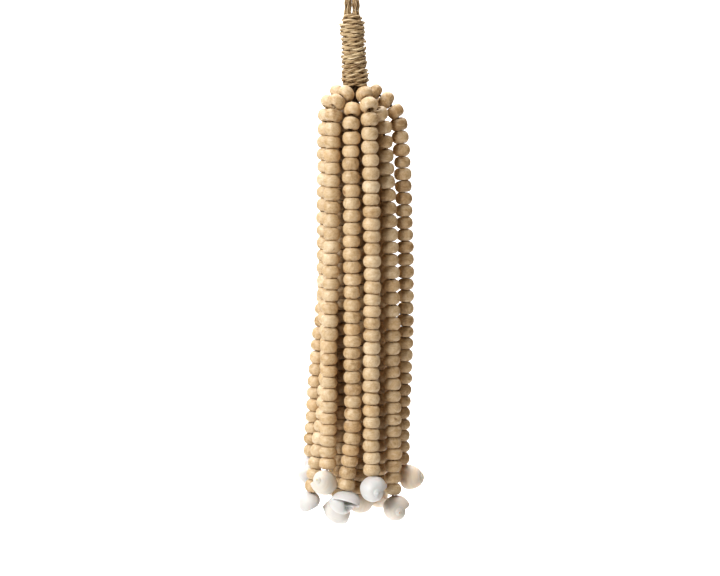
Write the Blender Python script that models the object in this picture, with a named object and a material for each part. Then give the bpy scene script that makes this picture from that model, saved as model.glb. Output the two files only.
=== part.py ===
"""Hanging tassel of wooden bead strings, each one ended by a small snail shell.

Run with: blender --background --python part.py

+Z is up, +X is the viewer's right and +Y points away from the viewer. The
origin is the underside of the hanging loop's crown, where a hook bears. All
sizes below are in millimetres, and MM turns them into metres.

A jute cord bundle makes the loop, a whipping of jute twine binds it into the
neck, and fourteen strings of turned wooden beads hang from the whipping's
underside in three tiers. Each string is one solid: its cord root, then a
swelling for each bead. The shells are solids of their own.
"""
import math
import random

import bmesh
import bpy
from mathutils import Matrix, Quaternion, Vector
from mathutils.bvhtree import BVHTree

MM = 0.001

# Air between pieces that touch on the real tassel.
CLEARANCE = 0.3

# Turned wooden beads, threaded on jute cord.
BEAD_RADIUS = 6.0
BEAD_END_RADIUS = 4.3
BEAD_HEIGHT_TOP = 8.7
BEAD_HEIGHT_LOW = 8.1
BEAD_HEIGHT_SPREAD = 0.55
# Extra room between the first beads of a string, where it bends.
BEAD_SLACK = (1.3, 0.7, 0.3)
BEAD_SEED = 31
STRING_RADIUS = 1.0
# A bevel resolution of 1 makes six sides.
STRING_BEVEL_RESOLUTION = 1
PATH_STEPS = 16

# Neck: jute twine wound round the gathered cords.
NECK_TOP = (-1.5, 0.0, -59.0)
NECK_BOTTOM = (1.1, 0.0, -106.4)
NECK_TURNS = 15
NECK_RINGS_PER_TURN = 3
NECK_SIDES = 12
NECK_RIDGE = 0.9
# Distance below the neck's top, and the radius there.
NECK_PROFILE = (
    (0.0, 5.4), (2.6, 6.4), (7.0, 8.7), (13.0, 8.1), (20.0, 7.6), (28.0, 8.4),
    (36.0, 8.5), (42.0, 9.0), (45.4, 9.3), (47.4, 7.4),
)

# Hanging loop: two legs of three cords each, side by side in the neck and
# parting above it into a loop with a round crown.
LEG_RADIUS = 2.3
LEG_LOBE = 0.35
LEG_LOBES = 3
LEG_LOBE_POINTS = 3
LEG_TWIST_PITCH = 32.0
LEG_APART = LEG_RADIUS + LEG_LOBE + CLEARANCE
LEG_FOOT = NECK_TOP[2] + 1.5 * CLEARANCE
# Course of a leg: its distance from the loop's middle, and its height.
LEG_COURSE = (
    (LEG_APART, LEG_FOOT), (LEG_APART, -52.0), (LEG_APART, -46.0), (7.0, -30.0), (10.6, -14.0),
)
CROWN_RADIUS = 11.0
CROWN_CENTRE = LEG_RADIUS + LEG_LOBE - CROWN_RADIUS
CROWN_ANGLES = (0, 30, 60, 90)
LOOP_STEP = 2.6

# Snail shells: rows of (distance from the spire's axis, depth below the apex)
# round the last whorl's outside at the lip, in reaches of the lip from the axis.
SHELL_ROWS = (
    (0.32, 0.18), (0.71, 0.42), (0.98, 0.99), (0.92, 1.56), (0.62, 1.78), (0.22, 1.63),
)
SHELL_MIDDLE = 0.95
SHELL_BASE = 1.10
SHELL_SIDES = 10
# How many times wider the shell is after each turn, and the last stretch of
# its turns, in radians, where it widens more slowly.
SHELL_WIDENING = 2.45
SLOW_STRETCH = 2.4
SLOW_SHARE = 0.35
# Air between a shell and its round bead, and how finely the seat is worked out.
SEAT_GAP = CLEARANCE
SEAT_RINGS = 8
SEAT_SIDES = 36
SEAT_STEPS = 30

# Heights at which each string's place is given.
LEVELS = (-142.0, -235.0, -290.0, -335.0)

# How the cords leave the neck's underside, tier by tier: the radius at which
# a cord starts, and the height at which it bends outwards.
TIERS = {1: (6.3, -108.0), 2: (4.4, -116.6), 3: (2.1, -119.0)}

# One row for each string: its name, its tier, the centres of its first bead and
# of the bead at the shoulder, its (x, y) at each of LEVELS, and the centre of
# its last bead.
STRINGS = (
    ("a", 1, (-10.5, -0.6, -111.0), (-17.4, -3.0, -119.0),
     ((-19.0, -4.0), (-19.6, -4.0), (-17.4, -6.0), (-21.4, -5.8)), (-27.9, -6.4, -378.5)),
    ("b", 1, (-5.2, -12.0, -111.8), (-11.6, -16.0, -118.0),
     ((-14.2, -17.0), (-15.4, -18.6), (-17.0, -18.6), (-17.4, -18.6)), (-17.8, -18.6, -360.8)),
    ("c", 2, (-1.0, -16.6, -122.5), (-1.5, -19.0, -128.0),
     ((-1.8, -20.0), (-1.3, -22.0), (-1.3, -22.0), (-0.9, -22.0)), (-5.2, -22.0, -374.5)),
    ("d", 1, (7.1, -12.8, -112.6), (10.1, -19.4, -120.0),
     ((10.8, -21.0), (12.3, -22.0), (11.7, -22.0), (11.5, -22.0)), (11.8, -22.0, -364.6)),
    ("e", 2, (17.1, -10.8, -125.5), (18.6, -9.4, -129.5),
     ((20.4, -8.6), (25.0, -9.0), (25.5, -9.2), (26.3, -9.6)), (26.7, -9.8, -380.0)),
    ("f", 1, (13.8, 0.4, -111.0), (24.8, -1.4, -119.5),
     ((31.6, 0.0), (35.2, 1.6), (34.4, 2.0), (32.6, 2.4)), (32.2, 2.6, -361.0)),
    ("g", 3, (-6.0, -5.8, -127.0), (-6.4, -6.6, -132.0),
     ((-6.8, -6.4), (-8.2, 1.0), (-8.4, 2.6), (-8.6, 2.0)), (-9.6, -1.0, -385.4)),
    ("h", 3, (6.0, -7.0, -127.5), (6.4, -7.6, -132.0),
     ((8.6, -8.4), (11.4, -8.8), (10.8, -8.8), (8.4, -8.8)), (4.0, -9.0, -379.0)),
    ("i", 3, (15.2, 4.2, -134.0), (16.0, 4.6, -140.0),
     ((16.2, 4.8), (17.6, 5.4), (17.6, 5.6), (17.4, 5.8)), (17.4, 5.8, -377.6)),
    ("j", 1, (-3.6, 11.6, -111.6), (-7.4, 18.2, -119.4),
     ((-9.2, 19.6), (-8.8, 20.4), (-9.4, 20.8), (-10.4, 21.2)), (-12.2, 21.4, -374.0)),
    ("k", 1, (8.6, 11.4, -112.2), (13.4, 17.4, -119.5),
     ((17.8, 18.2), (21.2, 19.2), (21.4, 19.4), (21.4, 19.6)), (21.2, 20.0, -366.0)),
    ("l", 2, (-14.4, 7.6, -124.0), (-16.0, 8.4, -131.0),
     ((-16.5, 8.6), (-18.6, 8.8), (-24.7, 6.2), (-27.8, 6.4)), (-29.0, 6.4, -356.3)),
    ("m", 2, (2.8, 17.6, -123.0), (3.2, 20.8, -130.0),
     ((3.4, 21.4), (5.2, 23.4), (5.4, 23.8), (5.0, 24.0)), (4.6, 24.2, -360.0)),
    ("n", 3, (1.6, 5.6, -127.0), (1.4, 6.4, -132.0),
     ((1.2, 7.0), (4.0, 8.0), (4.4, 8.0), (3.4, 7.8)), (2.0, 7.6, -369.0)),
)

# One row for each string's shell: the way it hangs from the last bead, the
# way its spire points, the way from the spire's axis to its lip, how far that is,
# and how tall the shell is for its width.
SHELLS = {
    "a": ((-0.18, 0.44, -0.84), (-0.35, 0.00, 0.94), (-0.90, 0.15, -0.34), 8.8, 0.88),
    "b": ((-0.31, -0.42, -0.92), (-0.47, -0.85, 0.22), (-0.85, 0.37, -0.38), 10.4, 1.04),
    "c": ((-0.04, -0.20, -0.97), (-0.95, 0.09, 0.29), (0.05, -0.89, 0.45), 10.4, 1.16),
    "d": ((0.12, -0.40, -0.90), (0.31, -0.95, -0.03), (0.90, 0.28, 0.34), 10.5, 0.96),
    "e": ((0.18, -0.33, -0.94), (0.23, -0.97, 0.00), (0.91, 0.21, 0.37), 10.5, 0.94),
    "f": ((0.60, 0.05, -0.82), (0.94, -0.33, 0.10), (-0.13, -0.06, 0.99), 9.7, 1.04),
    "g": ((-0.14, 0.33, -0.93), (-0.97, -0.08, 0.22), (-0.11, 0.98, -0.16), 10.3, 1.15),
    "h": ((0.14, 0.52, -0.66), (0.93, 0.23, -0.28), (0.35, -0.77, 0.54), 9.4, 1.00),
    "i": ((0.02, 0.20, -0.94), (0.22, 0.89, -0.41), (0.80, -0.40, -0.45), 9.4, 1.00),
    "j": ((-0.25, 0.10, -1.00), (-0.60, 0.70, -0.20), (0.60, 0.60, 0.20), 9.4, 1.00),
    "k": ((0.15, 0.30, -1.00), (0.30, 0.90, 0.20), (0.30, 0.00, -1.00), 9.6, 1.00),
    "l": ((-0.30, 0.10, -0.94), (0.36, 0.37, -0.86), (0.30, 0.83, 0.48), 9.9, 1.07),
    "m": ((0.00, 0.35, -1.00), (-0.20, 0.90, -0.30), (0.40, 0.10, 1.00), 9.6, 1.00),
    "n": ((-0.10, 0.00, -1.00), (-0.40, 0.60, -0.60), (0.60, -0.60, 0.10), 9.2, 1.00),
}

# Colour, roughness and metallic value of each material.
WOOD = ("light_wood", (0.72, 0.50, 0.29, 1.0), 0.62, 0.0)
JUTE = ("jute", (0.50, 0.37, 0.20, 1.0), 0.90, 0.0)
SHELL = ("shell", (0.86, 0.83, 0.77, 1.0), 0.38, 0.0)


# ---------------------------------------------------------------- helpers

def clear_scene():
    """Remove every object of the opened scene."""
    for old in list(bpy.data.objects):
        bpy.data.objects.remove(old, do_unlink=True)


def new_collection(name):
    """A collection of the given name, linked to the scene."""
    collection = bpy.data.collections.new(name)
    bpy.context.scene.collection.children.link(collection)
    return collection


def make_material(look):
    """A Principled material from a (name, colour, roughness, metallic) row."""
    name, colour, roughness, metallic = look
    material = bpy.data.materials.new(name)
    material.use_nodes = True
    shader = material.node_tree.nodes["Principled BSDF"]
    shader.inputs["Base Color"].default_value = colour
    shader.inputs["Roughness"].default_value = roughness
    shader.inputs["Metallic"].default_value = metallic
    return material


def add_object(name, data, collection, material):
    """An object for the given mesh or curve, in its collection and material."""
    piece = bpy.data.objects.new(name, data)
    collection.objects.link(piece)
    data.materials.append(material)
    return piece


def smooth_path(knots):
    """Points of a Catmull-Rom curve through the knots."""
    first = knots[0] * 2 - knots[1]
    last = knots[-1] * 2 - knots[-2]
    row = [first, *knots, last]
    points = []
    for before, start, end, after in zip(row, row[1:], row[2:], row[3:]):
        for step in range(PATH_STEPS):
            t = step / PATH_STEPS
            points.append(0.5 * (
                2 * start
                + (end - before) * t
                + (2 * before - 5 * start + 4 * end - after) * t ** 2
                + (3 * start - before - 3 * end + after) * t ** 3
            ))
    points.append(knots[-1].copy())
    return points


def distances_along(points):
    """The distance of each point from the first, along the path."""
    total = 0.0
    distances = [0.0]
    for start, end in zip(points, points[1:]):
        total += (end - start).length
        distances.append(total)
    return distances


def point_at(points, distances, wanted):
    """The point of the path that lies the wanted distance along it."""
    for index in range(1, len(points)):
        if distances[index] >= wanted:
            span = distances[index] - distances[index - 1]
            share = (wanted - distances[index - 1]) / span
            return points[index - 1].lerp(points[index], share)
    return points[-1].copy()


def interpolate(rows, value):
    """The second column of the rows, read at a value of the first."""
    for (low, at_low), (high, at_high) in zip(rows, rows[1:]):
        if value <= high:
            return at_low + (at_high - at_low) * (value - low) / (high - low)
    return rows[-1][1]


def poly_curve(name, points, radii=None, cyclic=False):
    """A 3D POLY curve through points in millimetres, with a radius at each."""
    curve = bpy.data.curves.new(name, "CURVE")
    curve.dimensions = "3D"
    spline = curve.splines.new("POLY")
    spline.points.add(len(points) - 1)
    spline.use_cyclic_u = cyclic
    for index, point in enumerate(points):
        spline.points[index].co = (*(point * MM), 1.0)
        if radii:
            spline.points[index].radius = radii[index]
    return curve


def closed_mesh(name, tube):
    """The mesh of a capped curve object, with its caps welded on."""
    bpy.context.view_layer.update()
    evaluated = tube.evaluated_get(bpy.context.evaluated_depsgraph_get())
    mesh = bpy.data.meshes.new_from_object(evaluated)
    mesh.name = name
    shape = bmesh.new()
    shape.from_mesh(mesh)
    bmesh.ops.remove_doubles(shape, verts=shape.verts, dist=0.01 * MM)
    bmesh.ops.recalc_face_normals(shape, faces=shape.faces)
    shape.to_mesh(mesh)
    shape.free()
    return mesh


# ---------------------------------------------------------- bead strings

def string_path(first, shoulder, places, last):
    """A smooth path from the first bead's centre to the last bead's."""
    levels = [Vector((x, y, height)) for (x, y), height in zip(places, LEVELS)]
    return smooth_path([Vector(first), Vector(shoulder), *levels, Vector(last)])


def bead_places(length, seed):
    """Each bead's (height, distance along) on a path between two bead centres."""
    mean = (BEAD_HEIGHT_TOP + BEAD_HEIGHT_LOW) / 2
    count = round(length / mean) + 1
    chance = random.Random(seed)
    heights = []
    for index in range(count):
        share = index / (count - 1)
        height = BEAD_HEIGHT_TOP + (BEAD_HEIGHT_LOW - BEAD_HEIGHT_TOP) * share
        heights.append(height + chance.uniform(-1, 1) * BEAD_HEIGHT_SPREAD)
    between_ends = sum(heights) - (heights[0] + heights[-1]) / 2
    fit = (length - sum(BEAD_SLACK)) / between_ends
    slack = [*BEAD_SLACK, *[0.0] * count]
    places = []
    travelled = 0.0
    for index, height in enumerate(heights):
        places.append((height * fit, travelled))
        after = heights[min(index + 1, count - 1)]
        travelled += (height + after) / 2 * fit + slack[index]
    return places


def string_root(tier, first_bead):
    """Points of the bare cord, down from the neck's underside and outwards."""
    start_radius, bend_height = TIERS[tier]
    centre = Vector(NECK_BOTTOM)
    outward = Vector((first_bead.x - centre.x, first_bead.y - centre.y, 0)).normalized()
    start = centre + outward * start_radius - Vector((0, 0, CLEARANCE))
    return [start, Vector((start.x, start.y, bend_height))]


def bead_string(name, row, seed, collection, material):
    """One string: its cord root and a swelling for each bead."""
    tier, first, shoulder, places, last = row
    path = string_path(first, shoulder, places, last)
    distances = distances_along(path)
    places = bead_places(distances[-1], seed)

    first_way = (path[1] - path[0]).normalized()
    last_way = (path[-1] - path[-2]).normalized()
    top_end = path[0] - first_way * places[0][0] / 2
    low_end = path[-1] + last_way * places[-1][0] / 2

    root = string_root(tier, path[0])
    points = [*root, top_end - first_way * 0.2, top_end]
    radii = [STRING_RADIUS] * (len(root) + 1) + [BEAD_END_RADIUS]
    for (height, travelled), (_, after) in zip(places, places[1:]):
        points.append(point_at(path, distances, travelled))
        points.append(point_at(path, distances, (travelled + after) / 2))
        radii += [BEAD_RADIUS, BEAD_END_RADIUS]
    points.append(path[-1])
    radii.append(BEAD_RADIUS)
    points.append(low_end)
    radii.append(BEAD_END_RADIUS)

    curve = poly_curve(name, points, radii)
    # Each point's radius is in millimetres, and the bevel depth scales it.
    curve.bevel_depth = MM
    curve.bevel_resolution = STRING_BEVEL_RESOLUTION
    curve.use_fill_caps = True
    add_object(name, curve, collection, material)
    return low_end, last_way


# ---------------------------------------------------------------- shells

def shell_size(turn_angle):
    """How wide the shell is where it has wound to an angle, 1 at the lip's 0."""
    slowed = (1 - SLOW_SHARE) * (max(turn_angle + SLOW_STRETCH, 0) - SLOW_STRETCH)
    return SHELL_WIDENING ** ((turn_angle - slowed) / (2 * math.pi))


def shell_ring(reach, tall, out, depth):
    """One ring of a shell, in its own frame: spire along +Z, lip along +X.

    The shell widens and deepens as it winds clockwise, seen from its apex, up
    to its lip, and the mouth is the step down from there to where it began.
    """
    ring = []
    for side in range(SHELL_SIDES):
        angle = 2 * math.pi * (SHELL_SIDES - 1 - side) / SHELL_SIDES
        size = reach * shell_size(-angle)
        x = size * out * math.cos(angle)
        y = size * out * math.sin(angle)
        ring.append(Vector((x, y, tall * (reach * SHELL_MIDDLE - size * depth))))
    return ring


def shell_turn(spire, mouth):
    """The rotation that points a shell's spire and its lip the given ways."""
    upright = Vector(spire).normalized()
    across = upright.cross(Vector(mouth)).normalized()
    return Matrix((across.cross(upright), across, upright)).transposed()


def bead_end_points(seat, seat_way):
    """Points over the lower half of a string's last bead."""
    across = seat_way.orthogonal()
    points = [seat]
    for ring in range(1, 2 * SEAT_RINGS + 1):
        share = ring / SEAT_RINGS
        if share <= 1:
            reach, rise = BEAD_END_RADIUS * share, 0.0
        else:
            reach = BEAD_END_RADIUS + (BEAD_RADIUS - BEAD_END_RADIUS) * (share - 1)
            rise = BEAD_HEIGHT_LOW / 2 * (share - 1)
        for side in range(SEAT_SIDES):
            turn = Quaternion(seat_way, 2 * math.pi * side / SEAT_SIDES)
            points.append(seat + turn @ across * reach - seat_way * rise)
    return points


def seated_centre(surface, reach, hang, seat, seat_way):
    """Where a shell's centre lies when it hangs just clear of the last bead.

    The shell starts well clear and moves up by what is left of the gap.
    """
    bead_end = bead_end_points(seat, seat_way)
    centre = seat + hang * 2 * reach
    for _ in range(SEAT_STEPS):
        gap = min(surface.find_nearest(point - centre)[3] for point in bead_end)
        centre -= hang * (gap - SEAT_GAP)
    return centre


def shell(name, row, seat, seat_way, collection, material):
    """A globose snail shell hung just under the last bead."""
    hang, spire, mouth, reach, tall = row
    hang = Vector(hang).normalized()
    turn = shell_turn(spire, mouth)

    rings = [shell_ring(reach, tall, out, depth) for out, depth in SHELL_ROWS]
    mesh_points = [Vector((0, 0, tall * reach * SHELL_MIDDLE))]
    mesh_points += [point for ring in rings for point in ring]
    mesh_points.append(Vector((0, 0, tall * reach * (SHELL_MIDDLE - SHELL_BASE))))
    mesh_points = [turn @ point for point in mesh_points]

    shape = bmesh.new()
    verts = [shape.verts.new(point) for point in mesh_points]
    grid = [
        verts[1 + index * SHELL_SIDES:1 + (index + 1) * SHELL_SIDES]
        for index in range(len(SHELL_ROWS))
    ]
    for side in range(SHELL_SIDES):
        after = (side + 1) % SHELL_SIDES
        shape.faces.new((verts[0], grid[0][after], grid[0][side]))
        shape.faces.new((verts[-1], grid[-1][side], grid[-1][after]))
        for upper, lower in zip(grid, grid[1:]):
            shape.faces.new((upper[side], upper[after], lower[after], lower[side]))
    centre = seated_centre(BVHTree.FromBMesh(shape), reach, hang, seat, seat_way)
    for vert in verts:
        vert.co = (centre + vert.co) * MM
    mesh = bpy.data.meshes.new(name)
    shape.to_mesh(mesh)
    shape.free()
    mesh.shade_smooth()
    add_object(name, mesh, collection, material)


# ------------------------------------------------------- neck and loop

def neck_wrap(collection, material):
    """The whipping: a closed turned form with the twine's turns raised."""
    top = Vector(NECK_TOP)
    bottom = Vector(NECK_BOTTOM)
    length = top.z - bottom.z
    rings = NECK_TURNS * NECK_RINGS_PER_TURN
    shape = bmesh.new()
    loops = []
    for ring in range(rings + 1):
        share = ring / rings
        centre = top.lerp(bottom, share)
        loop = []
        for side in range(NECK_SIDES):
            angle = 2 * math.pi * side / NECK_SIDES
            phase = 2 * math.pi * NECK_TURNS * share - angle
            radius = interpolate(NECK_PROFILE, length * share)
            if 0 < ring < rings:
                radius += NECK_RIDGE * (0.5 * math.cos(phase) - 0.5)
            offset = Vector((radius * math.cos(angle), radius * math.sin(angle), 0))
            loop.append(shape.verts.new((centre + offset) * MM))
        loops.append(loop)
    for upper, lower in zip(loops, loops[1:]):
        for side in range(NECK_SIDES):
            after = (side + 1) % NECK_SIDES
            shape.faces.new((upper[side], lower[side], lower[after], upper[after]))
    shape.faces.new(loops[0])
    shape.faces.new(reversed(loops[-1]))
    mesh = bpy.data.meshes.new("neck_wrap")
    shape.to_mesh(mesh)
    shape.free()
    add_object("neck_wrap", mesh, collection, material)


def loop_path():
    """The loop's middle line, up its left leg and down its right one."""
    course = list(LEG_COURSE)
    for degrees in CROWN_ANGLES:
        angle = math.radians(degrees)
        height = CROWN_CENTRE + CROWN_RADIUS * math.sin(angle)
        course.append((CROWN_RADIUS * math.cos(angle), height))
    lean = NECK_TOP[0] / NECK_TOP[2]
    left = [Vector((min(height, 0) * lean - apart, 0, height)) for apart, height in course]
    right = [Vector((min(height, 0) * lean + apart, 0, height)) for apart, height in course[:-1]]
    return left + right[::-1]


def hanging_loop(collection, helpers, material):
    """The loop: a leg's three cords, twisted, along the loop's middle line."""
    count = LEG_LOBES * LEG_LOBE_POINTS
    profile_points = []
    for index in range(count):
        angle = 2 * math.pi * index / count
        radius = LEG_RADIUS + LEG_LOBE * math.cos(LEG_LOBES * angle)
        profile_points.append(Vector((radius * math.cos(angle), radius * math.sin(angle), 0)))
    outline = poly_curve("loop_profile", profile_points, cyclic=True)
    profile = bpy.data.objects.new("loop_profile", outline)
    profile.hide_render = True
    profile.display_type = "WIRE"
    helpers.objects.link(profile)

    path = smooth_path(loop_path())
    distances = distances_along(path)
    steps = round(distances[-1] / LOOP_STEP)
    points = [point_at(path, distances, distances[-1] * step / steps) for step in range(steps + 1)]
    curve = poly_curve("hanging_loop", points)
    for step, point in enumerate(curve.splines[0].points):
        point.tilt = 2 * math.pi * distances[-1] * step / steps / LEG_TWIST_PITCH
    curve.bevel_mode = "OBJECT"
    curve.bevel_object = profile
    curve.use_fill_caps = True
    tube = bpy.data.objects.new("loop_tube", curve)
    helpers.objects.link(tube)
    add_object("hanging_loop", closed_mesh("hanging_loop", tube), collection, material)
    bpy.data.objects.remove(tube, do_unlink=True)


def main():
    """Model the whole tassel."""
    clear_scene()
    parts = new_collection("tassel")
    helpers = new_collection("guides")
    wood = make_material(WOOD)
    jute = make_material(JUTE)
    pearl = make_material(SHELL)

    hanging_loop(parts, helpers, jute)
    neck_wrap(parts, jute)
    for index, (letter, *row) in enumerate(STRINGS):
        seat, way = bead_string(f"bead_string_{letter}", row, BEAD_SEED + index, parts, wood)
        shell(f"shell_{letter}", SHELLS[letter], seat, way, parts, pearl)


main()
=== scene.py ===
"""Looks of the hanging tassel: turned wooden beads, snail shells and jute.

Every piece is built in millimetres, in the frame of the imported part: +Z up,
+X to the viewer's right, +Y away from the viewer, and the origin under the
hanging loop's crown. MM turns millimetres into metres.
"""

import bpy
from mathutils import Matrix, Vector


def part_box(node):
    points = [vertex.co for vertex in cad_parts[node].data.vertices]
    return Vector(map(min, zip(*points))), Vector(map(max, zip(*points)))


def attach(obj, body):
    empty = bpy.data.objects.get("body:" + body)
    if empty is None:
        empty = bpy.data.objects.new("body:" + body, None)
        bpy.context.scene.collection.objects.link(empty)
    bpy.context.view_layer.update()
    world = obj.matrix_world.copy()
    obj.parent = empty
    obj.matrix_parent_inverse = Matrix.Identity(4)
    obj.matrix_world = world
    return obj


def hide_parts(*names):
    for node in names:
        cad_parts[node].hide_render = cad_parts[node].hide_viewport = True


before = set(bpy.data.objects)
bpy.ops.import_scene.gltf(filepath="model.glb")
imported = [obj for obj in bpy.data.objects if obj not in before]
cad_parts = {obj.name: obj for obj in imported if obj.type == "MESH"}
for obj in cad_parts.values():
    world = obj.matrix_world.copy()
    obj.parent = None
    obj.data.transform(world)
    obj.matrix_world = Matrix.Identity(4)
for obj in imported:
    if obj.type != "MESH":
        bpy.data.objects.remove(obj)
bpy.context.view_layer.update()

import math
import random
from collections import namedtuple

import bpy
import numpy as np
from mathutils import Quaternion, Vector

MM = 0.001
LETTERS = "abcdefghijklmn"
# The ranges that random angles are drawn from, in radians.
ANY_TURN = (0, 6.28)
ANY_HALF_TURN = (0, 3.14)

# ------------------------------------------------------------ the part's sizes

BEAD_RADIUS = 6.0
BEAD_HEIGHT_TOP = 8.7
BEAD_HEIGHT_LOW = 8.1
BEAD_HEIGHT_SPREAD = 0.55
# Extra room between the first beads of a string, where it bends.
BEAD_SLACK = (1.3, 0.7, 0.3)
PATH_STEPS = 16

# Seeds of the random draws: the part's own for the beads' heights, then a factor
# for each string's beads and for each string's thread, and those of the jute.
BEAD_SEED = 31
STRAY_FACTOR = 101
THREAD_FACTOR = 7
TWINE_SEED = 5
CORE_SEED = 8
LOOP_SEED = 12

NECK_TOP = (-1.5, 0.0, -59.0)
NECK_BOTTOM = (1.1, 0.0, -106.4)
# Distance below the neck's top, and the radius there.
NECK_PROFILE = (
    (0.0, 5.4), (2.6, 6.4), (7.0, 8.7), (13.0, 8.1), (20.0, 7.6), (28.0, 8.4),
    (36.0, 8.5), (42.0, 9.0), (45.4, 9.3), (47.4, 7.4),
)

# A leg of the loop: how far it is from the loop's middle, and its height there.
LEG_APART = 2.95
LEG_FOOT = NECK_TOP[2] + 0.45
LEG_COURSE = (
    (LEG_APART, LEG_FOOT), (LEG_APART, -52.0), (LEG_APART, -46.0), (7.0, -30.0), (10.6, -14.0),
)
CROWN_RADIUS = 11.0
CROWN_CENTRE = 2.65 - CROWN_RADIUS
CROWN_ANGLES = (0, 30, 60, 90)

# For each tier of strings: how far from the neck's middle a thread leaves it, and
# the height where it bends outwards.
TIERS = {1: (6.3, -108.0), 2: (4.4, -116.6), 3: (2.1, -119.0)}
LEVELS = (-142.0, -235.0, -290.0, -335.0)

# The rows of the part's own table: tier, first bead, bead at the shoulder,
# (x, y) at each of LEVELS, and the last bead.
STRINGS = {
    "a": (1, (-10.5, -0.6, -111.0), (-17.4, -3.0, -119.0),
          ((-19.0, -4.0), (-19.6, -4.0), (-17.4, -6.0), (-21.4, -5.8)), (-27.9, -6.4, -378.5)),
    "b": (1, (-5.2, -12.0, -111.8), (-11.6, -16.0, -118.0),
          ((-14.2, -17.0), (-15.4, -18.6), (-17.0, -18.6), (-17.4, -18.6)), (-17.8, -18.6, -360.8)),
    "c": (2, (-1.0, -16.6, -122.5), (-1.5, -19.0, -128.0),
          ((-1.8, -20.0), (-1.3, -22.0), (-1.3, -22.0), (-0.9, -22.0)), (-5.2, -22.0, -374.5)),
    "d": (1, (7.1, -12.8, -112.6), (10.1, -19.4, -120.0),
          ((10.8, -21.0), (12.3, -22.0), (11.7, -22.0), (11.5, -22.0)), (11.8, -22.0, -364.6)),
    "e": (2, (17.1, -10.8, -125.5), (18.6, -9.4, -129.5),
          ((20.4, -8.6), (25.0, -9.0), (25.5, -9.2), (26.3, -9.6)), (26.7, -9.8, -380.0)),
    "f": (1, (13.8, 0.4, -111.0), (24.8, -1.4, -119.5),
          ((31.6, 0.0), (35.2, 1.6), (34.4, 2.0), (32.6, 2.4)), (32.2, 2.6, -361.0)),
    "g": (3, (-6.0, -5.8, -127.0), (-6.4, -6.6, -132.0),
          ((-6.8, -6.4), (-8.2, 1.0), (-8.4, 2.6), (-8.6, 2.0)), (-9.6, -1.0, -385.4)),
    "h": (3, (6.0, -7.0, -127.5), (6.4, -7.6, -132.0),
          ((8.6, -8.4), (11.4, -8.8), (10.8, -8.8), (8.4, -8.8)), (4.0, -9.0, -379.0)),
    "i": (3, (15.2, 4.2, -134.0), (16.0, 4.6, -140.0),
          ((16.2, 4.8), (17.6, 5.4), (17.6, 5.6), (17.4, 5.8)), (17.4, 5.8, -377.6)),
    "j": (1, (-3.6, 11.6, -111.6), (-7.4, 18.2, -119.4),
          ((-9.2, 19.6), (-8.8, 20.4), (-9.4, 20.8), (-10.4, 21.2)), (-12.2, 21.4, -374.0)),
    "k": (1, (8.6, 11.4, -112.2), (13.4, 17.4, -119.5),
          ((17.8, 18.2), (21.2, 19.2), (21.4, 19.4), (21.4, 19.6)), (21.2, 20.0, -366.0)),
    "l": (2, (-14.4, 7.6, -124.0), (-16.0, 8.4, -131.0),
          ((-16.5, 8.6), (-18.6, 8.8), (-24.7, 6.2), (-27.8, 6.4)), (-29.0, 6.4, -356.3)),
    "m": (2, (2.8, 17.6, -123.0), (3.2, 20.8, -130.0),
          ((3.4, 21.4), (5.2, 23.4), (5.4, 23.8), (5.0, 24.0)), (4.6, 24.2, -360.0)),
    "n": (3, (1.6, 5.6, -127.0), (1.4, 6.4, -132.0),
          ((1.2, 7.0), (4.0, 8.0), (4.4, 8.0), (3.4, 7.8)), (2.0, 7.6, -369.0)),
}

# The rows of the part's own table: the way each shell hangs from its bead, the
# way its spire points, the way from the spire's axis to its lip, how far that is,
# and how tall the shell is for its width. Then, from 0 to 1, how cream it is and
# how tan its apex is.
SHELLS = {
    "a": ((-0.18, 0.44, -0.84), (-0.35, 0.00, 0.94), (-0.90, 0.15, -0.34), 8.8, 0.88, 0.10, 0.2),
    "b": ((-0.31, -0.42, -0.92), (-0.47, -0.85, 0.22), (-0.85, 0.37, -0.38), 10.4, 1.04, 0.55, 0.7),
    "c": ((-0.04, -0.20, -0.97), (-0.95, 0.09, 0.29), (0.05, -0.89, 0.45), 10.4, 1.16, 0.02, 0.0),
    "d": ((0.12, -0.40, -0.90), (0.31, -0.95, -0.03), (0.90, 0.28, 0.34), 10.5, 0.96, 0.02, 0.0),
    "e": ((0.18, -0.33, -0.94), (0.23, -0.97, 0.00), (0.91, 0.21, 0.37), 10.5, 0.94, 0.50, 1.0),
    "f": ((0.60, 0.05, -0.82), (0.94, -0.33, 0.10), (-0.13, -0.06, 0.99), 9.7, 1.04, 0.85, 0.8),
    "g": ((-0.14, 0.33, -0.93), (-0.97, -0.08, 0.22), (-0.11, 0.98, -0.16), 10.3, 1.15, 0.20, 0.9),
    "h": ((0.14, 0.52, -0.66), (0.93, 0.23, -0.28), (0.35, -0.77, 0.54), 9.4, 1.00, 0.80, 0.4),
    "i": ((0.02, 0.20, -0.94), (0.22, 0.89, -0.41), (0.80, -0.40, -0.45), 9.4, 1.00, 0.85, 0.3),
    "j": ((-0.25, 0.10, -1.00), (-0.60, 0.70, -0.20), (0.60, 0.60, 0.20), 9.4, 1.00, 0.60, 0.5),
    "k": ((0.15, 0.30, -1.00), (0.30, 0.90, 0.20), (0.30, 0.00, -1.00), 9.6, 1.00, 0.30, 0.6),
    "l": ((-0.30, 0.10, -0.94), (0.36, 0.37, -0.86), (0.30, 0.83, 0.48), 9.9, 1.07, 0.05, 0.1),
    "m": ((0.00, 0.35, -1.00), (-0.20, 0.90, -0.30), (0.40, 0.10, 1.00), 9.6, 1.00, 0.20, 0.8),
    "n": ((-0.10, 0.00, -1.00), (-0.40, 0.60, -0.60), (0.60, -0.60, 0.10), 9.2, 1.00, 0.40, 0.3),
}

# ------------------------------------------------------------ paths and frames


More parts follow.
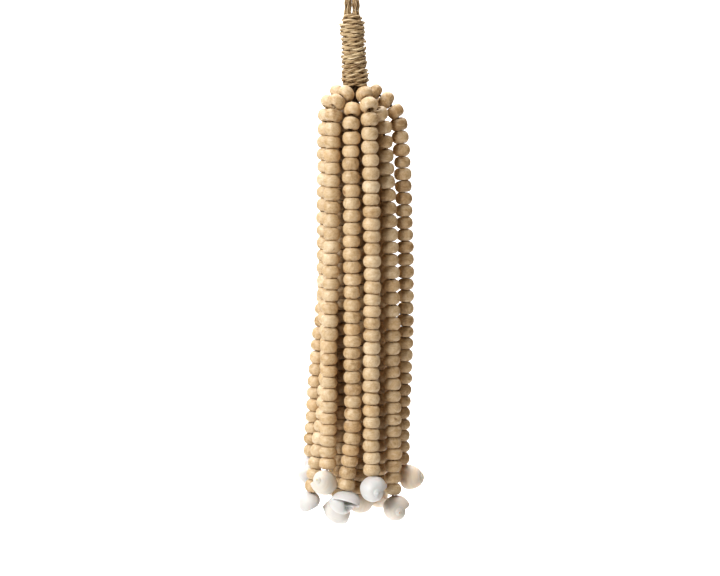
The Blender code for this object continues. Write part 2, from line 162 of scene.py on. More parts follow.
def smooth_path(knots):
    """Points of a Catmull-Rom curve through the knots, as the part has it."""
    first = knots[0] * 2 - knots[1]
    last = knots[-1] * 2 - knots[-2]
    row = [first, *knots, last]
    points = []
    for before, start, end, after in zip(row, row[1:], row[2:], row[3:]):
        for step in range(PATH_STEPS):
            share = step / PATH_STEPS
            points.append(0.5 * (
                2 * start
                + (end - before) * share
                + (2 * before - 5 * start + 4 * end - after) * share ** 2
                + (3 * start - before - 3 * end + after) * share ** 3
            ))
    points.append(knots[-1].copy())
    return points


def unit(vector):
    """A vector at length 1."""
    return vector / np.linalg.norm(vector)


def distances_along(points):
    """The distance of each point from the first, along the path."""
    steps = np.linalg.norm(np.diff(points, axis=0), axis=1)
    return np.concatenate([[0.0], np.cumsum(steps)])


def resample(points, spacing):
    """The path's points again, evenly spaced about the given distance apart."""
    along = distances_along(points)
    count = max(2, round(along[-1] / spacing) + 1)
    wanted = np.linspace(0.0, along[-1], count)
    return np.stack([np.interp(wanted, along, points[:, axis]) for axis in range(3)], axis=1)


def path_frames(points):
    """Tangents and two side directions along a path, carried without twist."""
    tangents = np.gradient(points, axis=0)
    tangents /= np.linalg.norm(tangents, axis=1)[:, None]
    helper = np.eye(3)[np.argmin(np.abs(tangents[0]))]
    side = unit(np.cross(tangents[0], helper))
    sides = [side]
    for tangent in tangents[1:]:
        side = unit(side - tangent * (side @ tangent))
        sides.append(side)
    sides = np.array(sides)
    return tangents, sides, np.cross(tangents, sides)


def ply_path(points, offset, pitch, phase):
    """A path wound round another at an offset, one turn for each pitch."""
    _, first, second = path_frames(points)
    angle = 2 * math.pi * distances_along(points) / pitch + phase
    return points + offset * (np.cos(angle)[:, None] * first + np.sin(angle)[:, None] * second)


def point_at(points, along, wanted):
    """The point of a path at a distance along it, run on straight before its start."""
    if wanted < 0:
        way = (points[1] - points[0]) / along[1]
        return points[0] + way * wanted
    return np.array([np.interp(wanted, along, points[:, axis]) for axis in range(3)])


def string_path(letter):
    """The path through a string's bead centres, and its distances."""
    _, first, shoulder, places, last = STRINGS[letter]
    levels = [Vector((x, y, height)) for (x, y), height in zip(places, LEVELS)]
    path = np.array(smooth_path([Vector(first), Vector(shoulder), *levels, Vector(last)]))
    return path, distances_along(path)


def bead_places(letter, length):
    """Each bead's (height, distance along) on a string's path of the given length."""
    mean = (BEAD_HEIGHT_TOP + BEAD_HEIGHT_LOW) / 2
    count = round(length / mean) + 1
    chance = random.Random(BEAD_SEED + LETTERS.index(letter))
    heights = []
    for index in range(count):
        share = index / (count - 1)
        height = BEAD_HEIGHT_TOP + (BEAD_HEIGHT_LOW - BEAD_HEIGHT_TOP) * share
        heights.append(height + chance.uniform(-1, 1) * BEAD_HEIGHT_SPREAD)
    between_ends = sum(heights) - (heights[0] + heights[-1]) / 2
    fit = (length - sum(BEAD_SLACK)) / between_ends
    slack = [*BEAD_SLACK, *[0.0] * count]
    places = []
    travelled = 0.0
    for index, height in enumerate(heights):
        places.append((height * fit, travelled))
        after = heights[min(index + 1, count - 1)]
        travelled += (height + after) / 2 * fit + slack[index]
    return places


# ------------------------------------------------------------ meshes

# A cord's two plies: their radius, how far they lie from its middle line, the
# pitch of their twist, their sides, how rough they are and their tone.
Plies = namedtuple("Plies", "radius offset pitch sides rough tone")
# The waves that make a tube uneven: how many, their rate along it and how many
# lobes they have round it. SLOW_RATES is the rate of a cord's own waves.
UNEVEN_WAVES = 5
UNEVEN_RATES = (0.5, 2.6)
UNEVEN_LOBES = (1, 5)
SLOW_RATES = (0.25, 1.4)
FIBRE_START = (0, 500)
# How far a tube's closed end stands out, in radii, and the radius there.
CORD_END_REACH = 0.4
CORD_END_RADIUS = 0.02
# A loose fibre: its radius, sides, steps and tone, how far from the cord's middle
# line it springs, how much it leans along the cord, and its curl.
FUZZ_RADIUS = 0.04
FUZZ_SIDES = 3
FUZZ_STEPS = 5
FUZZ_TONE = 0.6
FUZZ_ROOT = 1.1
FUZZ_LEAN = (0.3, 1.6)
FUZZ_CURL = 0.5


class Mesh:
    """Vertices, faces and per-vertex values, gathered for one piece."""

    def __init__(self):
        self.points = []
        self.faces = []
        self.values = {}
        self.count = 0

    def add(self, points, faces, **values):
        """Add a block of points, its faces and its named values."""
        self.points.append(points)
        self.faces.append(np.asarray(faces) + self.count)
        for name, value in values.items():
            self.values.setdefault(name, []).append(value)
        self.count += len(points)

    def cap(self, corners):
        """Add one face over points that the mesh already has."""
        self.faces.append(corners[None])

    def build(self, name, material):
        """The finished object, riding on the part's only body."""
        mesh = bpy.data.meshes.new(name)
        faces = [face for block in self.faces for face in block.tolist()]
        mesh.from_pydata((np.concatenate(self.points) * MM).tolist(), [], faces)
        for value_name, blocks in self.values.items():
            value = np.concatenate(blocks)
            kind = "FLOAT_VECTOR" if value.ndim == 2 else "FLOAT"
            attribute = mesh.attributes.new(value_name, kind, "POINT")
            attribute.data.foreach_set("vector" if value.ndim == 2 else "value", value.ravel())
        mesh.shade_smooth()
        mesh.materials.append(material)
        piece = bpy.data.objects.new(name, mesh)
        bpy.context.scene.collection.objects.link(piece)
        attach(piece, "root")
        return piece


def grid_faces(rows, columns, closed_rows=False):
    """Quads over a grid whose columns close up, and its rows too if asked."""
    last = rows if closed_rows else rows - 1
    row, column = np.meshgrid(np.arange(last), np.arange(columns), indexing="ij")
    after_row = (row + 1) % rows
    after_column = (column + 1) % columns
    return np.stack([
        row * columns + column, row * columns + after_column,
        after_row * columns + after_column, after_row * columns + column,
    ], axis=-1).reshape(-1, 4)


def uneven(radii, along, angle, rough, chance):
    """A tube's radii, made uneven by waves along it and round it."""
    bumps = np.zeros((len(along), len(angle)))
    for _ in range(UNEVEN_WAVES):
        wave = chance.uniform(*UNEVEN_RATES)
        lobes = chance.randrange(*UNEVEN_LOBES)
        phase = chance.uniform(0, 2 * math.pi)
        bumps += np.sin(wave * along[:, None] + lobes * angle[None, :] + phase)
    return radii * (1 + rough * bumps / 3)


def tube(points, radii, sides, rough, chance):
    """A round tube along a path: its points, faces and fibre values.

    The fibre value changes slowly along the tube and quickly across it.
    """
    shape = (len(points), sides)
    _, first, second = path_frames(points)
    along = distances_along(points)
    angle = 2 * math.pi * np.arange(sides) / sides
    radii = np.broadcast_to(radii[:, None], shape)
    if rough:
        radii = uneven(radii, along, angle, rough, chance)
    across, upward = np.cos(angle), np.sin(angle)
    rim = across[None, :, None] * first[:, None] + upward[None, :, None] * second[:, None]
    rings = points[:, None] + rim * radii[..., None]
    start = chance.uniform(*FIBRE_START)
    fibre = np.stack([
        np.broadcast_to((along + start)[:, None], shape), across * radii, upward * radii,
    ], axis=-1).reshape(-1, 3)
    return rings.reshape(-1, 3), grid_faces(*shape), fibre


def add_tube(mesh, points, radii, sides, rough, tone, chance):
    """Add a tube to a mesh, with its ends drawn in to a point."""
    radii = np.array(np.broadcast_to(radii, len(points)), float)
    tangents = path_frames(points)[0]
    start = points[0] - tangents[0] * radii[0] * CORD_END_REACH
    end = points[-1] + tangents[-1] * radii[-1] * CORD_END_REACH
    path = np.concatenate([start[None], points, end[None]])
    radii = np.concatenate([[CORD_END_RADIUS], radii, [CORD_END_RADIUS]])
    places, faces, fibre = tube(path, radii, sides, rough, chance)
    mesh.add(places, faces, fibre=fibre, tone=np.full(len(places), tone))


def add_plies(mesh, course, plies, chance, phase=0):
    """Add the two plies of a cord, wound round its middle line."""
    for number in range(2):
        places = ply_path(course, plies.offset, plies.pitch, math.pi * number + phase)
        add_tube(mesh, places, plies.radius, plies.sides, plies.rough, plies.tone, chance)


def slow_waves(angle, count, amount, chance):
    """A sum of slow waves, for cords that never lie quite even."""
    total = np.zeros(len(angle))
    for _ in range(count):
        rate = chance.uniform(*SLOW_RATES)
        total += np.sin(rate * angle + chance.uniform(*ANY_TURN)) * amount
    return total


def fuzz(mesh, course, count, shortest, longest, chance):
    """Loose fibres that spring out of a cord."""
    tangents, first, second = path_frames(course)
    steps = np.linspace(0, 1, FUZZ_STEPS)[:, None]
    for _ in range(count):
        index = chance.randrange(len(course))
        angle = chance.uniform(0, 2 * math.pi)
        out = math.cos(angle) * first[index] + math.sin(angle) * second[index]
        lean = chance.uniform(*FUZZ_LEAN) * (1 if chance.random() < 0.5 else -1)
        curl = np.array([chance.gauss(0, FUZZ_CURL) for _ in range(3)])
        length = chance.uniform(shortest, longest)
        straight = steps * (tangents[index] * lean + out) / (1 + abs(lean))
        places = course[index] + out * FUZZ_ROOT + length * (straight + steps ** 2 * curl * 0.5)
        add_tube(mesh, places, FUZZ_RADIUS, FUZZ_SIDES, 0.0, FUZZ_TONE, chance)


# ------------------------------------------------------------ materials


class Nodes:
    """Short ways to lay out a material's nodes."""

    def __init__(self, name):
        self.material = bpy.data.materials.new(name)
        self.material.use_nodes = True
        self.tree = self.material.node_tree
        self.shader = self.tree.nodes["Principled BSDF"]

    def node(self, kind, inputs=None, **settings):
        """A node with its settings, and its inputs linked or set."""
        made = self.tree.nodes.new(kind)
        for key, value in settings.items():
            setattr(made, key, value)
        for key, value in (inputs or {}).items():
            if isinstance(value, bpy.types.NodeSocket):
                self.tree.links.new(value, made.inputs[key])
            else:
                made.inputs[key].default_value = value
        return made

    def value(self, name, output="Fac"):
        """The output of a named attribute."""
        return self.node("ShaderNodeAttribute", attribute_name=name).outputs[output]

    def math(self, operation, first, second):
        """The result of a Math node."""
        made = self.node("ShaderNodeMath", {0: first, 1: second}, operation=operation)
        return made.outputs[0]

    def weighted(self, *pairs):
        """The sum of values, each times its weight."""
        total = self.math("MULTIPLY", *pairs[0])
        for value, weight in pairs[1:]:
            total = self.math("ADD", total, self.math("MULTIPLY", value, weight))
        return total

    def stretch(self, vector, scale):
        """A vector with its parts multiplied."""
        made = self.node("ShaderNodeVectorMath", {0: vector, 1: scale}, operation="MULTIPLY")
        return made.outputs[0]

    def noise(self, vector, scale, detail, roughness):
        """The value of a noise texture."""
        made = self.node("ShaderNodeTexNoise", {
            "Vector": vector, "Scale": scale, "Detail": detail, "Roughness": roughness,
        })
        return made.outputs["Fac"]

    def ramp(self, factor, stops):
        """A colour ramp through (position, colour) stops."""
        made = self.node("ShaderNodeValToRGB", {"Fac": factor})
        elements = made.color_ramp.elements
        while len(elements) < len(stops):
            elements.new(0.5)
        for element, (position, colour) in zip(elements, stops):
            element.position = position
            element.color = (*colour, 1.0)
        return made.outputs["Color"]

    def mix(self, factor, first, second):
        """Two colours mixed."""
        inputs = {0: factor}
        for key, colour in ((6, first), (7, second)):
            linked = isinstance(colour, bpy.types.NodeSocket)
            inputs[key] = colour if linked else (*colour, 1.0)
        return self.node("ShaderNodeMix", inputs, data_type="RGBA").outputs[2]

    def spread(self, value, low, high, to_low=0.0, to_high=1.0):
        """A value's range mapped to another, clamped."""
        made = self.node("ShaderNodeMapRange", {
            "Value": value, "From Min": low, "From Max": high, "To Min": to_low, "To Max": to_high,
        })
        return made.outputs["Result"]

    def bump(self, height, distance, strength, normal=None):
        """A bump of the given height, on top of another if there is one."""
        inputs = {"Height": height, "Distance": distance, "Strength": strength}
        if normal is not None:
            inputs["Normal"] = normal
        return self.node("ShaderNodeBump", inputs).outputs["Normal"]

    def finish(self, colour, roughness, normal, **settings):
        """Link what varies and set what doesn't on the shader itself."""
        self.tree.links.new(colour, self.shader.inputs["Base Color"])
        if isinstance(roughness, bpy.types.NodeSocket):
            self.tree.links.new(roughness, self.shader.inputs["Roughness"])
        else:
            self.shader.inputs["Roughness"].default_value = roughness
        self.tree.links.new(normal, self.shader.inputs["Normal"])
        for key, value in settings.items():
            self.shader.inputs[key.replace("_", " ")].default_value = value
        return self.material


def wood_material():
    """Turned light wood: fine lathe lines, fibre streaks, pores, knots and a painted rim highlight.
    """
    nodes = Nodes("turned_wood")
    turned = nodes.value("turned", "Vector")
    fibre = nodes.value("fibre", "Vector")
    tone = nodes.value("tone")
    warmth = nodes.value("warmth")
    rim = nodes.value("rim")

    lathe = nodes.noise(nodes.stretch(turned, (0.10, 0.10, 3.2)), 1.0, 4.0, 0.65)
    streak = nodes.noise(nodes.stretch(fibre, (0.12, 0.9, 0.9)), 1.0, 4.0, 0.65)
    blotch = nodes.noise(fibre, 0.30, 3.0, 0.55)
    pores = nodes.noise(nodes.stretch(fibre, (0.5, 2.6, 2.6)), 1.0, 2.0, 0.5)
    knot = nodes.noise(fibre, 0.15, 1.0, 0.4)

    shade = nodes.weighted((streak, 0.75), (lathe, 0.50), (blotch, 0.60), (tone, 0.34))
    colour = nodes.ramp(nodes.spread(shade, 0.80, 1.38), (
        (0.0, (0.34, 0.205, 0.090)), (0.32, (0.50, 0.345, 0.180)),
        (0.65, (0.60, 0.445, 0.265)), (1.0, (0.71, 0.570, 0.385)),
    ))
    colour = nodes.mix(nodes.math("MULTIPLY", warmth, 0.45), colour, (0.60, 0.36, 0.15))
    # Painted highlight: a light line along each bead's rims, broken up by the blotch noise, stands in
    # for light caught on the rounded edges.
    edge = nodes.spread(rim, 0.55, 0.85, 0.0, 0.35)
    painted_rim_highlight = nodes.math("MULTIPLY", edge, nodes.spread(blotch, 0.35, 0.6))
    colour = nodes.mix(painted_rim_highlight, colour, (0.78, 0.65, 0.48))
    dark_pores = nodes.spread(pores, 0.30, 0.40, 0.38, 0.0)
    colour = nodes.mix(dark_pores, colour, (0.30, 0.17, 0.075))
    dark_knots = nodes.spread(knot, 0.245, 0.205, 0.0, 0.8)
    colour = nodes.mix(dark_knots, colour, (0.24, 0.12, 0.05))

    normal = nodes.bump(lathe, 0.00016, 0.6)
    normal = nodes.bump(streak, 0.00018, 0.5, normal)
    normal = nodes.bump(pores, 0.00010, 0.5, normal)
    roughness = nodes.spread(streak, 0.3, 0.7, 0.44, 0.60)
    return nodes.finish(colour, roughness, normal, Specular_IOR_Level=0.75)


def jute_material():
    """Jute fibre: long dry streaks from straw to brown, dull and hairy."""
    nodes = Nodes("jute_fibre")
    fibre = nodes.value("fibre", "Vector")
    tone = nodes.value("tone")
    fine = nodes.noise(nodes.stretch(fibre, (0.22, 3.4, 3.4)), 1.0, 4.0, 0.65)
    strand = nodes.noise(nodes.stretch(fibre, (0.10, 1.5, 1.5)), 1.0, 2.0, 0.5)
    broad = nodes.noise(nodes.stretch(fibre, (0.05, 0.8, 0.8)), 1.0, 3.0, 0.5)
    shade = nodes.weighted((fine, 0.6), (broad, 0.4), (strand, 0.9), (tone, 0.5))
    colour = nodes.ramp(nodes.spread(shade, 0.95, 1.42), (
        (0.0, (0.13, 0.070, 0.028)), (0.30, (0.32, 0.205, 0.098)),
        (0.60, (0.55, 0.40, 0.220)), (1.0, (0.86, 0.72, 0.51)),
    ))
    olive = nodes.spread(broad, 0.54, 0.76, 0.0, 0.30)
    colour = nodes.mix(olive, colour, (0.44, 0.40, 0.22))
    normal = nodes.bump(fine, 0.00035, 0.8)
    return nodes.finish(
        colour, 0.66, normal, Specular_IOR_Level=0.4, Sheen_Weight=0.12, Sheen_Roughness=0.5,
    )


def shell_material():
    """Snail shell: white to cream with fine growth lines, satin."""
    nodes = Nodes("snail_shell")
    growth = nodes.value("growth", "Vector")
    cream = nodes.value("cream")
    apex = nodes.value("apex")
    lines = nodes.noise(nodes.stretch(growth, (7.0, 0.35, 0.35)), 1.0, 3.0, 0.6)
    bands = nodes.noise(nodes.stretch(growth, (0.25, 1.6, 1.6)), 1.0, 2.0, 0.5)
    clouds = nodes.noise(growth, 0.55, 3.0, 0.5)
    grown = nodes.spread(lines, 0.35, 0.65, 0.0, 0.35)
    white = nodes.mix(grown, (0.62, 0.605, 0.585), (0.55, 0.535, 0.51))
    tan = nodes.mix(nodes.spread(bands, 0.35, 0.65), (0.80, 0.67, 0.50), (0.70, 0.56, 0.40))
    amount = nodes.math("MULTIPLY", cream, nodes.spread(clouds, 0.30, 0.62, 0.35, 1.0))
    colour = nodes.mix(amount, white, tan)
    colour = nodes.mix(apex, colour, (0.62, 0.36, 0.16))
    normal = nodes.bump(lines, 0.00012, 0.5)
    normal = nodes.bump(clouds, 0.00025, 0.4, normal)
    return nodes.finish(
        colour, nodes.spread(clouds, 0.3, 0.7, 0.38, 0.56), normal,
        Specular_IOR_Level=0.45, Subsurface_Weight=0.15, Subsurface_Scale=0.002,
    )


# ------------------------------------------------------------ beads

BEAD_SIDES = 26
HOLE_RADIUS = 2.0
HOLE_CHAMFER = 0.45
END_FLAT = 0.48
END_ROUNDING = 2.0
SIDE_FULLNESS = 2.0
WALL_ROWS = 13
BEAD_GAP = 0.22
# How far back along its string each of the first beads takes its tilt from.
BEAD_LAG = (0.0, 3.0, 4.0, 2.5)
# Painted light and shade on whole strings: how much lighter or darker each string's beads are
# painted, a lighter where it is most lit, c a little darker, f and the inner strings g, h, m and n
# darker for the shade they hang in.
STRING_PAINTED_LIGHT_SHADE = {"a": 0.25, "c": -0.15, "f": -0.40, "g": -0.45, "h": -0.45, "n": -0.45, "m": -0.45}

# How far single beads stray from the rest: in the share of their flat ends, the
# fullness of their sides, their size, their tilt in radians, their place, their
# tone and their warmth.
END_FLAT_STRAY = (-0.04, 0.04)
FULLNESS_STRAY = (-0.20, 0.35)
SIZE_STRAY = (-0.045, 0.015)
TILT_STRAY = 0.035
PLACE_STRAY = 0.16
TONE_STRAY = 0.20
WARMTH_STRAY = 0.30
BEAD_TONE = 0.5
BEAD_OVAL = 0.012
GRAIN_SHIFT = (0, 400)

# The threads' dark tone is painted shade, so that they read as shadowed where they show in the beads'
# holes and gaps.
THREAD_PLIES = Plies(0.55, 0.42, 5.5, 6, 0.08, -0.2)
THREAD_SPACING = 1.0
# How far up into the neck a thread runs.
THREAD_TUCK = 3.0


def bead_profile(end_share, fullness, half_height):
    """A bored barrel's outline, as (radius, height) rows round its wall.

    A rounded side leaves the flat ends at end_share of the bead's radius, and
    the hole has a small chamfer.
    """
    flat = end_share * BEAD_RADIUS
    wall = []
    for row in range(WALL_ROWS):
        turn = math.pi * (row / (WALL_ROWS - 1) - 0.5)
        height = half_height * math.copysign(abs(math.sin(turn)) ** (2 / fullness), turn)
        radius = flat + (BEAD_RADIUS - flat) * abs(math.cos(turn)) ** (2 / END_ROUNDING)
        wall.append((radius, height))
    upper = [(HOLE_RADIUS + HOLE_CHAMFER, half_height), (HOLE_RADIUS, half_height - HOLE_CHAMFER)]
    lower = [(radius, -height) for radius, height in reversed(upper)]
    return np.array(lower + wall + upper)


def turned_bead(half_height, chance):
    """One bead's points about its own middle, and its outline."""
    end_flat = END_FLAT + chance.uniform(*END_FLAT_STRAY)
    fullness = SIDE_FULLNESS + chance.uniform(*FULLNESS_STRAY)
    profile = bead_profile(end_flat, fullness, half_height)
    size = 1 + chance.uniform(*SIZE_STRAY)
    angle = 2 * math.pi * np.arange(BEAD_SIDES) / BEAD_SIDES
    oval = 1 + BEAD_OVAL * np.cos(2 * angle + chance.uniform(*ANY_TURN))
    radius = profile[:, 0][:, None] * size * oval
    points = np.stack([
        radius * np.cos(angle), radius * np.sin(angle),
        np.broadcast_to(profile[:, 1][:, None], radius.shape),
    ], axis=-1).reshape(-1, 3)
    return points, profile


def bead_turn(axis, chance):
    """The rotation of a bead onto its string, a little tilted."""
    tilt = Vector((chance.gauss(0, TILT_STRAY), chance.gauss(0, TILT_STRAY), 0))
    turn = Vector((0, 0, 1)).rotation_difference((axis + tilt).normalized())
    turn = turn @ Quaternion((0, 0, 1), chance.uniform(*ANY_TURN))
    return np.array(turn.to_matrix())


def grain_turn(chance):
    """A random rotation, for the way the grain runs through a bead."""
    axis = Vector([chance.gauss(0, 1) for _ in range(3)]).normalized()
    turn = Quaternion(axis, chance.uniform(*ANY_HALF_TURN))
    return np.array(turn.to_matrix())


def add_bead(mesh, centre, axis, half_height, painted_light_shade, chance):
    """Add one turned bead to a string's mesh."""
    local, profile = turned_bead(half_height, chance)
    places = local @ bead_turn(axis, chance).T + centre
    grain = local @ grain_turn(chance).T
    shift = np.array([chance.uniform(*GRAIN_SHIFT) for _ in range(3)])
    # The bead's own random tone, plus its string's painted light and shade.
    tone = chance.gauss(BEAD_TONE, TONE_STRAY) + painted_light_shade
    warmth = max(0.0, chance.gauss(0.0, WARMTH_STRAY))
    rim = np.repeat(np.abs(profile[:, 1]) / half_height, BEAD_SIDES)
    mesh.add(
        places, grid_faces(len(profile), BEAD_SIDES, closed_rows=True),
        turned=local + shift[::-1], fibre=grain + shift, rim=rim,
        tone=np.full(len(local), tone), warmth=np.full(len(local), warmth),
    )


def bead_string(letter, material):
    """One string's beads, on the part's path."""
    path, along = string_path(letter)
    painted_light_shade = STRING_PAINTED_LIGHT_SHADE.get(letter, 0.0)
    chance = random.Random((BEAD_SEED + LETTERS.index(letter)) * STRAY_FACTOR)
    mesh = Mesh()
    for index, (height, travelled) in enumerate(bead_places(letter, along[-1])):
        lag = BEAD_LAG[index] if index < len(BEAD_LAG) else 0.0
        centre = point_at(path, along, travelled)
        above = point_at(path, along, travelled - lag - 1)
        below = point_at(path, along, travelled - lag + 1)
        axis = Vector(above - below).normalized()
        stray = np.array([chance.gauss(0, PLACE_STRAY), chance.gauss(0, PLACE_STRAY), 0])
        half_height = height / 2 - BEAD_GAP / 2
        add_bead(mesh, centre + stray, axis, half_height, painted_light_shade, chance)
    return mesh.build(f"beads_{letter}", material)


def string_ends(letter):
    """The upper end of a string's first bead, the lower end of its last, and its path."""
    path, along = string_path(letter)
    places = bead_places(letter, along[-1])
    top_end = path[0] - unit(path[1] - path[0]) * places[0][0] / 2
    low_end = path[-1] + unit(path[-1] - path[-2]) * places[-1][0] / 2
    return top_end, low_end, path


def thread_root(letter, top_end, first_bead):
    """A thread's course from inside the neck to the middle of its first bead."""
    tier, first = STRINGS[letter][:2]
    start_radius, bend_height = TIERS[tier]
    centre = np.array(NECK_BOTTOM)
    outward = unit(np.array([first[0] - centre[0], first[1] - centre[1], 0.0]))
    start = centre + outward * start_radius
    inside = start + np.array([0, 0, THREAD_TUCK])
    bend = np.array([start[0], start[1], bend_height])
    knots = [Vector(point) for point in (inside, bend, top_end, first_bead)]
    return np.array(smooth_path(knots))


def string_thread(letter, shell_top, material):
    """The jute thread through a string's beads, from the neck to its shell."""
    top_end, low_end, path = string_ends(letter)
    root = thread_root(letter, top_end, path[0])
    course = np.concatenate([root, path[1:], low_end[None], shell_top[None]])
    mesh = Mesh()
    chance = random.Random(BEAD_SEED + LETTERS.index(letter) * THREAD_FACTOR)
    add_plies(mesh, resample(course, THREAD_SPACING), THREAD_PLIES, chance)
    mesh.build(f"thread_{letter}", material)


# ------------------------------------------------------------ shells

SHELL_WHORLS = 4.1
SHELL_WIDENING = 2.45
# The last stretch of the turn, in radians, where the shell widens more slowly.
SLOW_STRETCH = 2.4
SLOW_SHARE = 0.35
SHELL_TURN_STEPS = 46
SHELL_RING_POINTS = 34
# The tube that the shell winds: in reaches, at its mouth.
TUBE_CENTRE = 0.42
TUBE_REACH = 0.58
TUBE_HEIGHT = 0.80
TUBE_DROP = 0.98
TUBE_LEAN = -0.28
# The inner wall at the lip, and how much narrower it is a part of a turn inside.
LIP_SHRINK = 0.92
MOUTH_TAPER = 0.22
MOUTH_TURN = 0.34
# The rounded lip: its rings' angles and how far each is drawn in.
LIP_RINGS = ((0.03, 0.97), (0.02, LIP_SHRINK))
# Between a shell and its string's last bead.
SHELL_GAP = 0.35
SEATING_ROUNDS = 6
# How fast the growth pattern runs along and across the tube, and how far it is
# shifted from one shell to the next.
GROWTH_ALONG = 2.0
GROWTH_ACROSS = 4
GROWTH_SHIFT = 17.0
# The sizes of the tube between which the apex's tan fades out.
APEX_SIZES = (0.05, 0.15)


def shell_size(turn_angle):
    """How wide the shell is where it has wound to an angle, 1 at the lip's 0."""
    slowed = (1 - SLOW_SHARE) * (max(turn_angle + SLOW_STRETCH, 0) - SLOW_STRETCH)
    return SHELL_WIDENING ** ((turn_angle - slowed) / (2 * math.pi))


def shell_ring(turn_angle, shrink):
    """A ring of the shell's tube where it has wound to an angle, and its size."""
    size = shell_size(turn_angle)
    # Growth is a little uneven.
    size *= 1 + 0.006 * math.sin(7.3 * turn_angle) + 0.004 * math.sin(17.1 * turn_angle + 1)
    around = 2 * math.pi * np.arange(SHELL_RING_POINTS) / SHELL_RING_POINTS
    out = size * (TUBE_CENTRE + shrink * TUBE_REACH * np.cos(around))
    height = size * (-TUBE_DROP + shrink * TUBE_HEIGHT * np.sin(around + TUBE_LEAN))
    return np.stack([out * math.cos(turn_angle), -out * math.sin(turn_angle), height], axis=1), size


def shell_rings():
    """The rings from the apex to the lip, over its edge and back inside.

    The points come with the shell's size and the angle at each of them.
    """
    steps = round(SHELL_WHORLS * SHELL_TURN_STEPS)
    wound = [-2 * math.pi * SHELL_WHORLS * (1 - step / steps) for step in range(steps + 1)]
    rows = [(angle, 1.0) for angle in wound] + list(LIP_RINGS)
    inside = round(MOUTH_TURN * SHELL_TURN_STEPS)
    for step in range(1, inside + 1):
        share = step / inside
        rows.append((-2 * math.pi * MOUTH_TURN * share, LIP_SHRINK - MOUTH_TAPER * share))
    rings = [shell_ring(angle, shrink) for angle, shrink in rows]
    sizes = np.repeat([size for _, size in rings], SHELL_RING_POINTS)
    angles = np.repeat([angle for angle, _ in rows], SHELL_RING_POINTS)
    return np.concatenate([ring for ring, _ in rings]), sizes, angles


def shell_turn(spire, mouth):
    """The rotation that points a shell's spire and its lip the given ways."""
    upright = Vector(spire).normalized()
    across = upright.cross(Vector(mouth)).normalized()
    return np.array((across.cross(upright), across, upright)).T


def seated(places, bead_end, hang):
    """The shell's points moved along its hang until it all but meets its bead."""
    for _ in range(SEATING_ROUNDS):
        gaps = np.linalg.norm(places[None, ::3] - bead_end[:, None], axis=2)
        places = places - hang * (gaps.min() - SHELL_GAP)
    return places


def last_bead(letter):
    """Points over the lower half of a string's last bead."""
    _, low_end, path = string_ends(letter)
    way = unit(path[-1] - path[-2])
    profile = bead_profile(END_FLAT, SIDE_FULLNESS, np.linalg.norm(low_end - path[-1]))
    _, first, second = path_frames(path[-2:])
    points = []
    for radius, height in profile[profile[:, 1] > 0]:
        for step in range(BEAD_SIDES):
            angle = 2 * math.pi * step / BEAD_SIDES
            rim = math.cos(angle) * first[0] + math.sin(angle) * second[0]
            points.append(path[-1] + way * height + rim * radius)
    return np.array(points)


def growth_places(letter, sizes, angles):
    """Each point's place along and round the shell's tube, for its growth lines."""
    around = 2 * math.pi * np.arange(SHELL_RING_POINTS) / SHELL_RING_POINTS
    around = np.tile(around, len(sizes) // SHELL_RING_POINTS)
    along = angles * GROWTH_ALONG + GROWTH_SHIFT * LETTERS.index(letter)
    across = sizes * GROWTH_ACROSS
    return np.stack([along, np.cos(around) * across, np.sin(around) * across], axis=1)


def snail_shell(letter, material):
    """A low-spired globose snail shell with an open mouth, under its string."""
    hang, spire, mouth, reach, tall, cream, apex_tan = SHELLS[letter]
    local, sizes, angles = shell_rings()
    local *= (1, 1, tall)
    places = local * reach @ shell_turn(spire, mouth).T
    low, high = (np.array(corner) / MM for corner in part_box(f"shell_{letter}"))
    places += (low + high) / 2 - (places.min(axis=0) + places.max(axis=0)) / 2
    places = seated(places, last_bead(letter), np.array(Vector(hang).normalized()))

    apex = apex_tan * np.interp(sizes, APEX_SIZES, (1, 0))
    mesh = Mesh()
    mesh.add(
        places, grid_faces(len(places) // SHELL_RING_POINTS, SHELL_RING_POINTS)[:, ::-1],
        growth=growth_places(letter, sizes, angles), apex=apex, cream=np.full(len(places), cream),
    )
    first_ring = np.arange(SHELL_RING_POINTS)
    mesh.cap(first_ring)
    mesh.cap(first_ring[::-1] + len(places) - SHELL_RING_POINTS)
    piece = mesh.build(f"snail_{letter}", material)
    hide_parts(f"shell_{letter}")
    return places


# ------------------------------------------------------------ neck and loop

TWINE_TURNS = 16.1
TWINE_START = 0.6
TWINE_STEPS = 2600
TWINE_SPACING = 0.42
TWINE_PLIES = Plies(0.90, 0.72, -14.0, 10, 0.10, 0.44)
TWINE_INSET = 0.2
# Its first turn's distance below the neck's top, and its last above the bottom.
TWINE_FIRST_DROP = -0.1
TWINE_LAST_RISE = -0.4
# How far the turns tilt up to the right, at a distance below the neck's top.
TWINE_TILT = ((0, 0.5), (8, -0.3), (16, 0.4), (28, 0.2), (35, 1.3), (43, 1.0), (47.4, 0.2))
# The waves of the turns, up and down and outwards: how many, and their height.
TWINE_DROP_WAVES = (7, 0.12)
TWINE_OUT_WAVES = (7, 0.14)
# Loose fibres: how many, the shortest and the longest.
TWINE_FUZZ = (420, 1.0, 2.6)
# The twine's cut ends: how far right each reaches, and its height; then where they
# leave the neck in x and y, the y of their tips, and half their rise.
TWINE_ENDS = ((8.3, -77.3), (8.2, -81.3), (10.3, -98.6))
TWINE_END_ROOT = (4.0, -5.0)
TWINE_END_FRONT = -2.5
TWINE_END_LIFT = 0.4
TWINE_END_STEPS = 12
TWINE_END_PLIES = Plies(0.55, 0.45, -6.0, 7, 0.12, 0.55)
# The core inside the twine: how far it lies in, and the rest of its tube.
CORE_INSET = 1.3
CORE_SHARES = (0.015, 0.985)
CORE_STEPS = 40
CORE_SIDES = 24
CORE_ROUGH = 0.02
CORE_TONE = 0.1


def neck_radius(drop):
    """The neck's radius at a distance below its top."""
    rows = np.array(NECK_PROFILE)
    return np.interp(drop, rows[:, 0], rows[:, 1])


